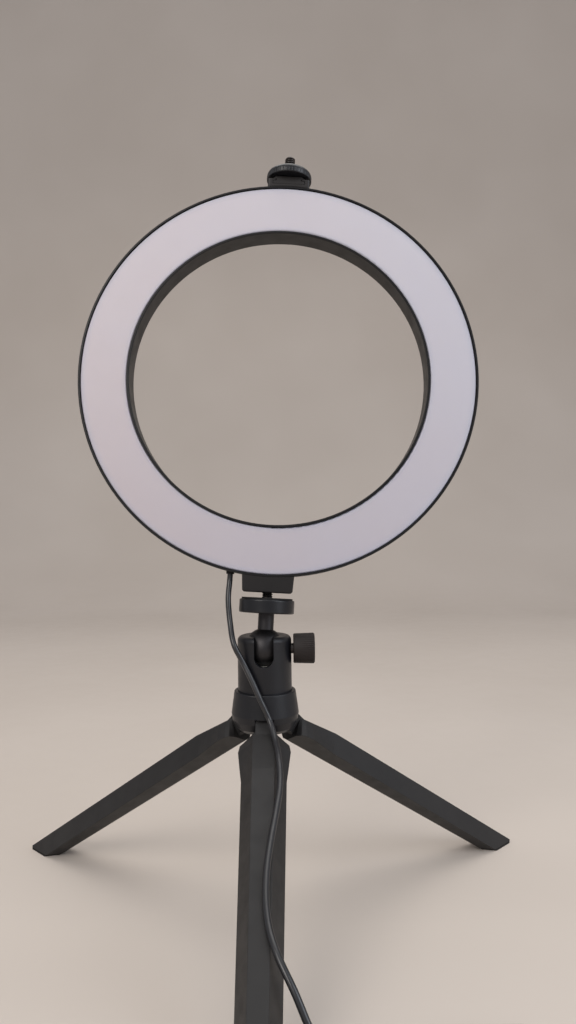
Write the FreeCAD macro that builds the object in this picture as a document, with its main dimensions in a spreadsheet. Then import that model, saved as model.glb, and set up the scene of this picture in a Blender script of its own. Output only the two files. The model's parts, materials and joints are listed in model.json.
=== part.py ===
import FreeCAD, Part

import math
import os
import re
import Sketcher

# A ring light on a ball head and a folding tripod. Millimetres and degrees.
# Row frame: +Z up, the lamp faces -Y, origin on the table under the middle of the footprint.

SIZES = {
    # ring, in its own frame: origin at the ring's centre, axis along Y, face towards -Y
    "ring_radius": 120.4,
    "ring_bore": 89.8,
    "ring_depth": 16.0,
    "outer_wall": 1.3,
    "inner_wall": 1.4,
    "floor_thickness": 1.8,
    "diffuser_recess": 0.4,
    "diffuser_thickness": 1.8,
    "diffuser_flange": 1.4,
    "diffuser_flange_depth": 4.2,
    "snug_gap": 0.2,
    "board_thickness": 1.6,
    "board_back": 4.0,
    "sheet_thickness": 0.4,
    "screw_circle": 105.1,
    "screw_count": 8.0,
    "post_radius": 3.5,
    "boss_radius": 2.6,
    "led_count": 48.0,
    "warm_circle": 99.4,
    "cool_circle": 110.8,
    "led_length": 3.5,
    "led_width": 2.8,
    "led_height": 0.8,
    # cable
    "cable_radius": 1.65,
    "cable_hole": 1.75,
    "cable_side": 22.6,
    "cable_depth": -0.7,
    "grommet_radius": 2.4,
    # cold shoe, its foot and the accessory stud, on top of the ring
    "shoe_half_width": 12.9,
    "shoe_slot_half": 9.9,
    "shoe_mouth_half": 8.1,
    "shoe_base": 1.4,
    "shoe_slot_height": 2.2,
    "shoe_lip": 1.0,
    "foot_plate_half": 9.6,
    "foot_plate": 1.9,
    "foot_neck_half": 7.6,
    "foot_flare_half": 9.6,
    "foot_height": 6.2,
    "stud_radius": 3.175,
    "stud_shank_radius": 2.9,
    "stud_above_nut": 10.0,
    "engaged_radius": 2.9,
    "nut_radius": 14.0,
    "nut_bottom": 6.7,
    "nut_thickness": 6.0,
    "nut_bore": 2.95,
    "nut_grips": 48.0,
    # mount block under the ring
    "block_top_half": 15.5,
    "block_bottom_half": 14.65,
    "block_drop": 9.1,
    "insert_radius": 4.5,
    "insert_length": 7.0,
    "insert_bore": 2.95,
    "block_screw_side": 10.5,
    "shoe_screw_side": 6.0,
    # ball head, in the head frame: origin at the ball's centre, Z along the stem
    "ring_above_ball": 162.1,
    "ball_radius": 12.0,
    "stem_cup": 12.03,
    "stem_radius": 4.65,
    "stem_top": 20.6,
    "platform_radius": 16.25,
    "platform_thickness": 8.0,
    "platform_pad": 1.0,
    "light_screw_top": 38.6,
    # stance of the lamp head
    "ball_height": 154.4,
    "lean_back": 5.8,
    "lean_side": 3.6,
    # head housing, in the tripod frame: origin on the table under the tripod's axis
    "head_radius": 15.75,
    "head_bottom": 127.0,
    "head_top": 162.3,
    "socket_radius": 12.05,
    "notch_half": 5.6,
    "notch_centre": 151.4,
    "seat_bottom": 140.0,
    "seat_top": 145.4,
    "clamp_radius": 3.0,
    "clamp_hole": 3.05,
    "clamp_pad_end": 13.4,
    "knob_start": 16.9,
    "knob_length": 12.5,
    "knob_radius": 8.6,
    "knob_grips": 44.0,
    # hub
    "hub_top": 130.5,
    "hub_rim": 17.9,
    "hub_radius": 19.7,
    "hub_shoulder": 117.5,
    "hub_bottom": 107.5,
    "hub_core": 6.2,
    "hub_core_bottom": 109.5,
    "hub_recess": 15.85,
    "washer_thickness": 0.4,
    "base_screw_radius": 3.0,
    "base_screw_head": 5.0,
    "base_screw_top": 137.0,
    "leg_slot_half": 5.3,
    # legs, drawn folded: origin on the hinge pin's level, Z along the tripod's axis
    "pin_reach": 13.0,
    "pin_height": 113.0,
    "pin_radius": 1.5,
    "pin_half_length": 8.5,
    "pin_bore": 1.55,
    "leg_spread": 57.2,
    "tongue_half": 5.0,
    "tongue_eye": 6.0,
    "wedge_inner": 1.7,
    "wedge_gap": 0.3,
    "leg_length": 211.0,
    "foot_pad": 1.2,
    # inline controller and plug, lying on the table
    "case_length": 62.0,
    "case_width": 17.0,
    "case_height": 9.6,
    "case_split": 4.6,
    "case_wall": 1.3,
    "button_radius": 3.4,
    "button_pitch": 12.0,
    "button_stand": 0.7,
    "plug_length": 30.0,
    "plug_width": 15.6,
    "plug_height": 8.0,
    "shell_width": 12.0,
    "shell_height": 4.5,
    "shell_length": 12.0,
    "shell_wall": 0.3,
}

doc = FreeCAD.newDocument("ring_light")
sizes = doc.addObject("Spreadsheet::Sheet", "sizes")
for row, (name, number) in enumerate(SIZES.items(), 1):
    sizes.set(f"A{row}", name)
    sizes.set(f"B{row}", str(number))
    sizes.setAlias(f"B{row}", name)
doc.recompute()

X_AXIS = FreeCAD.Vector(1, 0, 0)
Y_AXIS = FreeCAD.Vector(0, 1, 0)
Z_AXIS = FreeCAD.Vector(0, 0, 1)
FAR = "300"
PARTS = []


# ---------------------------------------------------------------- small helpers


def size(name):
    return float(sizes.get(name))


def bound(text):
    """The expression with each size's name written as the sheet's cell."""
    def named(word):
        return f"sizes.{word.group()}" if word.group() in SIZES else word.group()

    return re.sub(r"[a-z_]+", named, text)


def move(x=0, y=0, z=0):
    return FreeCAD.Placement(FreeCAD.Vector(x, y, z), FreeCAD.Rotation())


def turn(axis, degrees):
    return FreeCAD.Placement(FreeCAD.Vector(), FreeCAD.Rotation(axis, degrees))


def keep(piece, name, place):
    """Lists a finished sub-part under its file name, and puts it in its place."""
    piece.Label = name
    piece.Placement = place
    PARTS.append(piece)


def new_body(name):
    return doc.addObject("PartDesign::Body", name)


def plane_of(body, role):
    return next(feature for feature in body.Origin.OriginFeatures if feature.Role == role)


def sketch_on(body, name, role, offset="0"):
    """A sketch on one of the body's own planes, moved along the plane's normal."""
    sketch = body.newObject("Sketcher::SketchObject", name)
    sketch.AttachmentSupport = [(plane_of(body, role), "")]
    sketch.MapMode = "FlatFace"
    sketch.setExpression("AttachmentOffset.Base.z", bound(offset))
    return sketch


def hold(sketch, geometry, point, x, y):
    """Ties one point of a sketch to two expressions."""
    for kind, text, axis in (("DistanceX", x, -2), ("DistanceY", y, -1)):
        if text == "0":
            sketch.addConstraint(Sketcher.Constraint("PointOnObject", geometry, point, axis))
            continue
        number = sketch.addConstraint(Sketcher.Constraint(kind, -1, 1, geometry, point, 1.0))
        name = f"{kind}_{geometry}_{point}"
        sketch.renameConstraint(number, name)
        sketch.setExpression(f"Constraints.{name}", bound(text))


def outline(sketch, points):
    """A closed outline through points given as pairs of expressions."""
    count, first = len(points), sketch.GeometryCount
    angles = [2 * math.pi * i / count for i in range(count)]
    rough = [FreeCAD.Vector(50 * math.cos(angle), 50 * math.sin(angle), 0) for angle in angles]
    for i in range(count):
        sketch.addGeometry(Part.LineSegment(rough[i], rough[(i + 1) % count]), False)
    for i in range(count):
        sketch.addConstraint(Sketcher.Constraint("Coincident", first + i, 2, first + (i + 1) % count, 1))
    for i, (x, y) in enumerate(points):
        hold(sketch, first + i, 1, x, y)


def rectangle(sketch, left, right, low, high):
    outline(sketch, [(left, low), (right, low), (right, high), (left, high)])


def circle(sketch, radius, x="0", y="0"):
    number = sketch.addGeometry(Part.Circle(FreeCAD.Vector(5, 5, 0), Z_AXIS, 3), False)
    datum = sketch.addConstraint(Sketcher.Constraint("Radius", number, 3.0))
    sketch.renameConstraint(datum, f"radius_{number}")
    sketch.setExpression(f"Constraints.radius_{number}", bound(radius))
    if (x, y) == ("0", "0"):
        sketch.addConstraint(Sketcher.Constraint("Coincident", number, 3, -1, 1))
    else:
        hold(sketch, number, 3, x, y)


def revolve(body, sketch, axis="V_Axis"):
    feature = body.newObject("PartDesign::Revolution", "turned")
    feature.Profile = sketch
    feature.ReferenceAxis = (sketch, [axis])
    feature.Angle = 360
    doc.recompute()
    return feature


def pad(body, sketch, length, both=False, flip=False):
    feature = body.newObject("PartDesign::Pad", "pad")
    feature.Profile = sketch
    feature.setExpression("Length", bound(length))
    feature.Midplane = both
    feature.Reversed = flip
    doc.recompute()
    return feature


def pocket(body, sketch, length, both=False, flip=False):
    """A pocket that has to remove something: against the sketch's normal, or along it when flipped."""
    before = body.Shape.Volume
    feature = body.newObject("PartDesign::Pocket", "pocket")
    feature.Profile = sketch
    feature.setExpression("Length", bound(length))
    feature.Midplane = both
    feature.Reversed = flip
    doc.recompute()
    if not body.Shape.Volume < before - 1e-6:
        raise ValueError(f"a pocket of {body.Name} cuts nothing")
    return feature


def around(body, features, role, count):
    """Repeats features evenly around one of the body's own axes."""
    pattern = body.newObject("PartDesign::PolarPattern", "around")
    pattern.Originals = features
    pattern.Axis = (plane_of(body, role), [""])
    pattern.Angle = 360
    pattern.setExpression("Occurrences", bound(count))
    body.Tip = pattern
    doc.recompute()
    return pattern


def soften(body, radius, wanted, kind="Fillet"):
    """Rounds or chamfers the edges of the body that the test wants."""
    tip = body.Tip
    names = [f"Edge{i}" for i, edge in enumerate(tip.Shape.Edges, 1) if wanted(edge)]
    if not names:
        raise ValueError(f"no edge of {body.Name} to soften")
    feature = body.newObject(f"PartDesign::{kind}", "softened")
    feature.Base = (tip, names)
    feature.setExpression("Radius" if kind == "Fillet" else "Size", bound(radius))
    doc.recompute()
    return feature


def rim(radius, along, level):
    """A test for full circles of one radius at one level along a direction."""

    def wanted(edge):
        curve = edge.Curve
        if curve.TypeId != "Part::GeomCircle" or abs(curve.Radius - radius) > 0.02:
            return False
        return abs(curve.Center.dot(along) - level) < 0.02 and abs(curve.Axis.dot(along)) > 0.999

    return wanted


def upright(along):
    """A test for straight edges along a direction."""

    def wanted(edge):
        return edge.Curve.TypeId == "Part::GeomLine" and abs(edge.Curve.Direction.dot(along)) > 0.9999

    return wanted


def solid(kind, name, place=None, **numbers):
    """A Part primitive with its sizes tied to expressions."""
    made = doc.addObject(f"Part::{kind}", name)
    for field, text in numbers.items():
        made.setExpression(field, bound(text))
    if place:
        made.Placement = place
    return made


def cut(base, *tools):
    """The base with each tool cut out of it."""
    for tool in tools:
        feature = doc.addObject("Part::Cut", f"{base.Name}_cut")
        feature.Base = base
        feature.Tool = tool
        base = feature
    doc.recompute()
    return base


def group(name, pieces, place):
    """Identical loose pieces as one sub-part of separate solids."""
    feature = doc.addObject("Part::Feature", name)
    feature.Shape = Part.makeCompound(pieces)
    keep(feature, name, place)


def placed(shape, place):
    copy = shape.copy()
    copy.Placement = place.multiply(copy.Placement)
    return copy


def turned_solid(points):
    """A solid turned about Z from an outline of (radius, height) numbers."""
    wire = Part.makePolygon([FreeCAD.Vector(x, 0, z) for x, z in points + points[:1]])
    return Part.Face(wire).revolve(FreeCAD.Vector(), Z_AXIS, 360)


def screw_solid(head_radius, head_height, shank_radius, shank_length, slot=0.5):
    """A pan-head screw along Z: the head above the origin with a cross slot, the shank below."""
    screw = turned_solid(
        [
            (0, -shank_length),
            (shank_radius * 0.4, -shank_length),
            (shank_radius, -shank_length + shank_radius),
            (shank_radius, 0),
            (head_radius, 0),
            (head_radius, head_height * 0.6),
            (head_radius * 0.75, head_height),
            (0, head_height),
        ]
    )
    half, depth = head_radius * 0.6, head_height * 0.5
    for long_x, long_y in ((half, slot / 2), (slot / 2, half)):
        corner = FreeCAD.Vector(-long_x, -long_y, head_height - depth)
        screw = screw.cut(Part.makeBox(2 * long_x, 2 * long_y, 2 * depth, corner))
    return screw


def cord(points, radius, bend):
    """A round cord along straight stretches, with each corner between them rounded as far as it fits."""
    spots = [FreeCAD.Vector(*point) for point in points]
    edges, here = [], spots[0]
    for before, corner, after in zip(spots, spots[1:], spots[2:]):
        back, onward = before - corner, after - corner
        half = (math.pi - back.getAngle(onward)) / 2
        if half < math.radians(0.5):
            continue
        reach = min(bend * math.tan(half), 0.45 * back.Length, 0.45 * onward.Length)
        back.normalize()
        onward.normalize()
        start, end = corner + back * reach, corner + onward * reach
        inward = (back + onward).normalize()
        radius_here = reach / math.tan(half)
        middle = corner + inward * (radius_here / math.cos(half) - radius_here)
        edges += [Part.makeLine(here, start), Part.Arc(start, middle, end).toShape()]
        here = end
    edges.append(Part.makeLine(here, spots[-1]))
    ring = Part.Wire([Part.makeCircle(radius, spots[0], spots[1] - spots[0])])
    return Part.Wire(edges).makePipeShell([ring], True, False)


# ---------------------------------------------------------------- frames


FRONT_REACH = 192.5
TIP_HALF_WIDTH = 4.0
BACK_REACH = FRONT_REACH * 0.5 + TIP_HALF_WIDTH * math.cos(math.radians(30))
AXIS_Y = (FRONT_REACH - BACK_REACH) / 2

TRIPOD = move(y=AXIS_Y)
HEAD = move(0, AXIS_Y, size("ball_height")).multiply(
    turn(Y_AXIS, size("lean_side")).multiply(turn(X_AXIS, -size("lean_back")))
)
RING = HEAD.multiply(move(z=size("ring_above_ball")))


# ---------------------------------------------------------------- lamp ring


def ring_section(sketch, outer, inner, front, wall_end, thickness, outer_thickness, inner_thickness):
    """A ring's U section: a plate at one side and two walls that run to the other."""
    outline(
        sketch,
        [
            (outer, front),
            (outer, wall_end),
            (f"{outer} - {outer_thickness}", wall_end),
            (f"{outer} - {outer_thickness}", f"{front} + {thickness}"),
            (f"{inner} + {inner_thickness}", f"{front} + {thickness}"),
            (f"{inner} + {inner_thickness}", wall_end),
            (inner, wall_end),
            (inner, front),
        ],
    )


def ring_housing():
    body = new_body("ring_housing")
    section = sketch_on(body, "channel", "XY_Plane")
    ring_section(
        section, "ring_radius", "ring_bore", "ring_depth / 2", "-ring_depth / 2", "-floor_thickness",
        "outer_wall", "inner_wall",
    )
    revolve(body, section)
    back = size("ring_depth") / 2
    soften(body, "2.2", rim(size("ring_radius"), Y_AXIS, back))
    soften(body, "1.0", rim(size("ring_bore"), Y_AXIS, back))
    soften(body, "0.4", rim(size("ring_radius"), Y_AXIS, -back))
    soften(body, "0.4", rim(size("ring_bore"), Y_AXIS, -back))
    post = sketch_on(body, "post", "XZ_Plane", "-(ring_depth / 2 - floor_thickness)")
    circle(post, "post_radius", "screw_circle")
    posts = pad(body, post, "ring_depth / 2 - floor_thickness - board_back")
    hole = sketch_on(body, "screw_hole", "XZ_Plane", "-ring_depth / 2")
    circle(hole, "1.5", "screw_circle")
    holes = pocket(body, hole, "5", flip=True)
    sink = sketch_on(body, "counterbore", "XZ_Plane", "-ring_depth / 2")
    circle(sink, "2.6", "screw_circle")
    sinks = pocket(body, sink, "1.6", flip=True)
    around(body, [posts, holes, sinks], "Y_Axis", "screw_count")
    under = sketch_on(body, "bottom_holes", "XY_Plane", "-(ring_radius - 5)")
    circle(under, "1.15", "block_screw_side", "-0.7")
    circle(under, "1.15", "-block_screw_side", "-0.7")
    circle(under, "grommet_radius", "-cable_side", "cable_depth")
    pocket(body, under, "6")
    above = sketch_on(body, "top_holes", "XY_Plane", "ring_radius - 5")
    circle(above, "1.05", "shoe_screw_side", "-0.7")
    circle(above, "1.05", "-shoe_screw_side", "-0.7")
    pocket(body, above, "6", flip=True)
    keep(body, "ring_housing", RING)


def diffuser():
    body = new_body("diffuser")
    outer = "(ring_radius - outer_wall - snug_gap)"
    inner = "(ring_bore + inner_wall + snug_gap)"
    front = "-(ring_depth / 2 - diffuser_recess)"
    section = sketch_on(body, "cover", "XY_Plane")
    ring_section(
        section, outer, inner, front, f"{front} + diffuser_flange_depth", "diffuser_thickness",
        "diffuser_flange", "diffuser_flange",
    )
    revolve(body, section)
    face = -(size("ring_depth") / 2 - size("diffuser_recess"))
    outer_radius = size("ring_radius") - size("outer_wall") - size("snug_gap")
    inner_radius = size("ring_bore") + size("inner_wall") + size("snug_gap")
    soften(body, "1.0", rim(outer_radius, Y_AXIS, face))
    soften(body, "1.0", rim(inner_radius, Y_AXIS, face))
    boss = sketch_on(body, "boss", "XZ_Plane", f"-({front} + diffuser_thickness)")
    circle(boss, "boss_radius", "screw_circle")
    room_behind = "board_back - board_thickness - sheet_thickness + ring_depth / 2"
    length = f"{room_behind} - diffuser_recess - diffuser_thickness"
    bosses = pad(body, boss, length, flip=True)
    hole = sketch_on(body, "boss_hole", "XZ_Plane", "-(board_back - board_thickness - sheet_thickness)")
    circle(hole, "1.15", "screw_circle")
    holes = pocket(body, hole, "5.5", flip=True)
    around(body, [bosses, holes], "Y_Axis", "screw_count")
    keep(body, "diffuser", RING)


def board_ring(name, back, thickness, windows):
    """A flat ring between the walls, with the screw holes and, where asked, windows for the LEDs."""
    body = new_body(name)
    flat = sketch_on(body, "annulus", "XZ_Plane", f"-({back})")
    circle(flat, "ring_radius - outer_wall - 1.9")
    circle(flat, "ring_bore + inner_wall + 2.0")
    pad(body, flat, thickness)
    hole = sketch_on(body, "screw_hole", "XZ_Plane", f"-({back})")
    circle(hole, "1.6", "screw_circle")
    around(body, [pocket(body, hole, thickness, flip=True)], "Y_Axis", "screw_count")
    if windows:
        window = sketch_on(body, "window", "XZ_Plane", f"-({back})")
        for led_circle in ("warm_circle", "cool_circle"):
            rectangle(
                window,
                f"{led_circle} - led_length / 2 - 0.2",
                f"{led_circle} + led_length / 2 + 0.2",
                "-led_width / 2 - 0.2",
                "led_width / 2 + 0.2",
            )
        around(body, [pocket(body, window, thickness, flip=True)], "Y_Axis", "led_count")
    keep(body, name, RING)


def leds(name, led_circle):
    front = size("board_back") - size("board_thickness")
    long, wide, high = size("led_length"), size("led_width"), size("led_height")
    chip = Part.makeBox(long, high, wide, FreeCAD.Vector(led_circle - long / 2, front - high, -wide / 2))
    count = int(size("led_count"))
    group(name, [placed(chip, turn(Y_AXIS, 360 / count * i)) for i in range(count)], RING)


def housing_screws():
    screw = screw_solid(2.2, 1.4, 1.1, 8.8)
    back = size("ring_depth") / 2 - 1.6
    first = move(size("screw_circle"), back, 0).multiply(turn(X_AXIS, -90))
    count = int(size("screw_count"))
    screws = [placed(screw, turn(Y_AXIS, 360 / count * i).multiply(first)) for i in range(count)]
    group("housing_screws", screws, RING)


def lead_wires():
    """Three wires from the end of the cable to the front of the board."""
    low = -(size("ring_radius") - 3.5)
    face = size("board_back") - size("board_thickness") - size("sheet_thickness") - 0.45
    depth = size("cable_depth")
    wires = []
    for step in (-1, 0, 1):
        x = -size("cable_side") + 1.1 * step
        across = x + 0.8 * step
        bend = [(x, depth, low), (x, depth, low + 1.7), (across, face, low + 4.4), (across, face, low + 6)]
        wires.append(cord(bend, 0.4, 3))
    group("lead_wires", wires, RING)


def cable_grommet():
    """A bush in the bottom wall, with its flange inside the housing."""
    top, flange = -(size("ring_radius") - 4.9), 2.6
    bore, outer = size("cable_hole"), size("grommet_radius")
    points = [
        (bore, top),
        (flange, top),
        (flange, top - 0.6),
        (outer, top - 0.6),
        (outer, top - 4.0),
        (bore, top - 4.0),
    ]
    place = RING.multiply(move(-size("cable_side"), size("cable_depth"), 0))
    group("cable_grommet", [turned_solid(points)], place)


def mount_block():
    body = new_body("mount_block")
    bottom = "-(ring_radius + block_drop)"
    front = sketch_on(body, "front", "XZ_Plane")
    outline(
        front,
        [
            ("-block_bottom_half", bottom),
            ("block_bottom_half", bottom),
            ("block_top_half", "-(ring_radius - 4)"),
            ("-block_top_half", "-(ring_radius - 4)"),
        ],
    )
    pad(body, front, "ring_depth", both=True)
    level = -(size("ring_radius") + size("block_drop"))
    soften(body, "1.6", lambda edge: upright(Y_AXIS)(edge) and abs(edge.CenterOfMass.z - level) < 0.1)
    half = size("ring_depth") / 2 - 0.1
    soften(body, "0.8", lambda edge: abs(edge.CenterOfMass.y) > half and edge.CenterOfMass.z < level + 12)
    seat = sketch_on(body, "ring_seat", "XZ_Plane")
    circle(seat, "ring_radius")
    pocket(body, seat, FAR, both=True)
    socket = sketch_on(body, "insert_socket", "XY_Plane", bottom)
    circle(socket, "insert_radius")
    pocket(body, socket, "insert_length", flip=True)
    holes = sketch_on(body, "screw_holes", "XY_Plane", "-(ring_radius - 5)")
    circle(holes, "1.15", "block_screw_side", "-0.7")
    circle(holes, "1.15", "-block_screw_side", "-0.7")
    pocket(body, holes, "12")
    keep(body, "mount_block", RING)


def thread_insert():
    low = -(size("ring_radius") + size("block_drop"))
    high = low + size("insert_length")
    bore, outer = size("insert_bore"), size("insert_radius")
    points = [
        (bore + 0.4, low),
        (outer - 0.3, low),
        (outer, low + 0.5),
        (outer, high),
        (bore, high),
        (bore, low + 0.4),
    ]
    group("thread_insert", [turned_solid(points)], RING)


def wall_screws(name, side, direction, level, screw):
    """Two screws through the ring's rim, one at each side."""
    pair = []
    for x in (-side, side):
        pair.append(placed(screw, move(x, -0.7, level).multiply(turn(X_AXIS, direction))))
    group(name, pair, RING)


def cold_shoe():
    body = new_body("cold_shoe")
    slot_floor = "ring_radius + shoe_base"
    slot_top = "ring_radius + shoe_base + shoe_slot_height"
    top = "ring_radius + shoe_base + shoe_slot_height + shoe_lip"
    front = sketch_on(body, "front", "XZ_Plane")
    outline(
        front,
        [
            ("-shoe_half_width", "ring_radius - 2"),
            ("shoe_half_width", "ring_radius - 2"),
            ("shoe_half_width", top),
            ("shoe_mouth_half", top),
            ("shoe_mouth_half", slot_top),
            ("shoe_slot_half", slot_top),
            ("shoe_slot_half", slot_floor),
            ("-shoe_slot_half", slot_floor),
            ("-shoe_slot_half", slot_top),
            ("-shoe_mouth_half", slot_top),
            ("-shoe_mouth_half", top),
            ("-shoe_half_width", top),
        ],
    )
    pad(body, front, "ring_depth", both=True)
    edge_x = size("shoe_half_width") - 0.1
    soften(body, "1.4", lambda edge: upright(Z_AXIS)(edge) and abs(edge.CenterOfMass.x) > edge_x)
    seat = sketch_on(body, "ring_seat", "XZ_Plane")
    circle(seat, "ring_radius")
    pocket(body, seat, FAR, both=True)
    for radius, depth in (("1.05", "3"), ("2.05", "0.9")):
        holes = sketch_on(body, "screw_holes", "XY_Plane", slot_floor)
        circle(holes, radius, "shoe_screw_side", "-0.7")
        circle(holes, radius, "-shoe_screw_side", "-0.7")
        pocket(body, holes, depth)
    keep(body, "cold_shoe", RING)


def adapter_foot():
    """The plate that slides in the shoe, its neck between the lips and the flare above them."""
    body = new_body("adapter_foot")
    plate_low = "ring_radius + shoe_base + 0.1"
    plate_high = "ring_radius + shoe_base + 0.1 + foot_plate"
    flare_low = "ring_radius + shoe_base + shoe_slot_height + shoe_lip + 0.1"
    top = "ring_radius + foot_height"
    front = sketch_on(body, "front", "XZ_Plane")
    right = [
        ("foot_plate_half", plate_low),
        ("foot_plate_half", plate_high),
        ("foot_neck_half", plate_high),
        ("foot_neck_half", flare_low),
        ("foot_flare_half", flare_low),
        ("foot_neck_half", top),
    ]
    outline(front, right + [(f"-{x}", z) for x, z in reversed(right)])
    pad(body, front, "ring_depth", both=True)
    hole = sketch_on(body, "stud_hole", "XY_Plane", plate_low)
    circle(hole, "stud_shank_radius")
    pocket(body, hole, "8", flip=True)
    sink = sketch_on(body, "stud_seat", "XY_Plane", plate_low)
    circle(sink, "5.0")
    pocket(body, sink, "1.5", flip=True)
    keep(body, "adapter_foot", RING)


def accessory_stud():
    """The 1/4 inch stud. Its shank is slightly slimmer inside the foot and the lock nut."""
    low = size("ring_radius") + size("shoe_base") + 0.15
    nut_top = size("ring_radius") + size("nut_bottom") + size("nut_thickness")
    top = nut_top + size("stud_above_nut")
    shank, thread = size("stud_shank_radius"), size("stud_radius")
    points = [
        (0, low),
        (4.95, low),
        (4.95, low + 1.4),
        (shank, low + 1.4),
        (shank, nut_top + 0.3),
        (thread, nut_top + 0.3),
        (thread, top - 1.0),
        (thread - 1.0, top),
        (0, top),
    ]
    group("accessory_stud", [turned_solid(points)], RING)


def lock_nut():
    body = new_body("lock_nut")
    disc = sketch_on(body, "disc", "XY_Plane", "ring_radius + nut_bottom")
    circle(disc, "nut_radius")
    circle(disc, "nut_bore")
    pad(body, disc, "nut_thickness")
    low = size("ring_radius") + size("nut_bottom")
    soften(body, "3.4", rim(size("nut_radius"), Z_AXIS, low + size("nut_thickness")))
    soften(body, "0.7", rim(size("nut_radius"), Z_AXIS, low))
    grip = sketch_on(body, "grip", "XY_Plane", "ring_radius + nut_bottom")
    circle(grip, "0.35", "nut_radius + 0.2")
    around(body, [pocket(body, grip, "nut_thickness - 3.0", flip=True)], "Z_Axis", "nut_grips")
    keep(body, "lock_nut", RING)


# ---------------------------------------------------------------- ball head


def ball_and_stem():
    ball = solid("Sphere", "ball", Radius="ball_radius")
    keep(ball, "ball", HEAD)
    start = 9.5
    rod = solid("Cylinder", "stem_rod", move(z=start), Radius="stem_radius", Height="stem_top - 9.5")
    cup = solid("Sphere", "stem_cup", Radius="stem_cup")
    bore = solid("Cylinder", "stem_bore", Radius="engaged_radius", Height="8")
    bore.Placement = move(z=size("stem_top") - 6)
    keep(cut(rod, cup, bore), "ball_stem", HEAD)


def platform():
    body = new_body("platform_disc")
    disc = sketch_on(body, "disc", "XY_Plane", "stem_top")
    circle(disc, "platform_radius")
    circle(disc, "engaged_radius")
    pad(body, disc, "platform_thickness")
    low, high = size("stem_top"), size("stem_top") + size("platform_thickness")
    soften(body, "0.9", rim(size("platform_radius"), Z_AXIS, high))
    soften(body, "0.9", rim(size("platform_radius"), Z_AXIS, low))
    keep(body, "platform_disc", HEAD)
    rubber = new_body("platform_pad")
    ring = sketch_on(rubber, "ring", "XY_Plane", "stem_top + platform_thickness")
    circle(ring, "platform_radius - 1.2")
    circle(ring, "engaged_radius + 0.3")
    pad(rubber, ring, "platform_pad")
    keep(rubber, "platform_pad", HEAD)


def light_screw():
    low, top, radius = size("stem_top") - 5.8, size("light_screw_top"), size("engaged_radius")
    points = [
        (0, low),
        (radius - 0.8, low),
        (radius, low + 0.8),
        (radius, top - 0.8),
        (radius - 0.8, top),
        (0, top),
    ]
    group("light_screw", [turned_solid(points)], HEAD)


def head_housing():
    body = new_body("head_housing")
    base = sketch_on(body, "barrel", "XY_Plane", "head_bottom")
    circle(base, "head_radius")
    pad(body, base, "head_top - head_bottom")
    soften(body, "2.8", rim(size("head_radius"), Z_AXIS, size("head_top")))
    socket = body.newObject("PartDesign::SubtractiveSphere", "socket")
    socket.setExpression("Radius", bound("socket_radius"))
    socket.AttachmentSupport = [(plane_of(body, "XY_Plane"), "")]
    socket.MapMode = "FlatFace"
    socket.setExpression("AttachmentOffset.Base.z", bound("ball_height"))
    doc.recompute()
    bore = sketch_on(body, "bore", "XY_Plane", "head_bottom")
    circle(bore, "socket_radius")
    pocket(body, bore, "ball_height - head_bottom", flip=True)
    notch_end = sketch_on(body, "notch_end", "XZ_Plane")
    circle(notch_end, "notch_half", "0", "notch_centre")
    pocket(body, notch_end, "20", flip=True)
    notch = sketch_on(body, "notch", "XZ_Plane")
    rectangle(notch, "-notch_half", "notch_half", "notch_centre", "head_top + 5")
    pocket(body, notch, "20", flip=True)
    clamp = sketch_on(body, "clamp_hole", "YZ_Plane", "ball_radius - 3")
    circle(clamp, "clamp_hole", "0", "ball_height")
    pocket(body, clamp, "10", flip=True)
    keep(body, "head_housing", TRIPOD)


def ball_seat():
    height = size("ball_height")
    foot = move(z=size("seat_bottom"))
    cup = solid("Cylinder", "seat_cup", foot, Radius="ball_radius", Height="seat_top - seat_bottom")
    hollow = solid("Sphere", "seat_hollow", move(z=height), Radius="socket_radius")
    keep(cut(cup, hollow), "ball_seat", TRIPOD)
    body = new_body("seat_plug")
    plug = sketch_on(body, "plug", "XY_Plane", "head_bottom + 0.3")
    circle(plug, "ball_radius")
    circle(plug, "base_screw_radius + 0.05")
    pad(body, plug, "seat_bottom - head_bottom - 0.3")
    keep(body, "seat_plug", TRIPOD)


def clamp():
    height = size("ball_height")
    along_x = move(z=height).multiply(turn(Y_AXIS, 90))
    start = 10.5
    rod_length = "clamp_pad_end - 10.5"
    rod = solid("Cylinder", "brake_rod", move(z=start), Radius="clamp_radius", Height=rod_length)
    hollow = solid("Sphere", "brake_hollow", Radius="socket_radius + 0.03")
    keep(cut(rod, hollow), "brake_pad", TRIPOD.multiply(along_x))
    low, radius = size("clamp_pad_end") + 0.02, size("clamp_radius")
    top = size("knob_start") + size("knob_length") - 3
    points = [(0, low), (radius - 0.6, low), (radius, low + 0.6), (radius, top), (0, top)]
    group("clamp_screw", [turned_solid(points)], TRIPOD.multiply(along_x))
    knob = new_body("clamp_knob")
    section = sketch_on(knob, "section", "XZ_Plane")
    end = "knob_start + knob_length"
    outline(
        section,
        [
            ("clamp_radius", "knob_start"),
            ("knob_radius - 0.5", "knob_start"),
            ("knob_radius", "knob_start + 0.5"),
            ("knob_radius + 0.3", f"{end} - 0.7"),
            ("knob_radius - 0.4", end),
            ("0", end),
            ("0", f"{end} - 3"),
            ("clamp_radius", f"{end} - 3"),
        ],
    )
    revolve(knob, section)
    grip = sketch_on(knob, "grip", "XY_Plane", "knob_start")
    circle(grip, "0.35", "knob_radius + 0.35")
    around(knob, [pocket(knob, grip, "knob_length", flip=True)], "Z_Axis", "knob_grips")
    keep(knob, "clamp_knob", TRIPOD.multiply(along_x))


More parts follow.
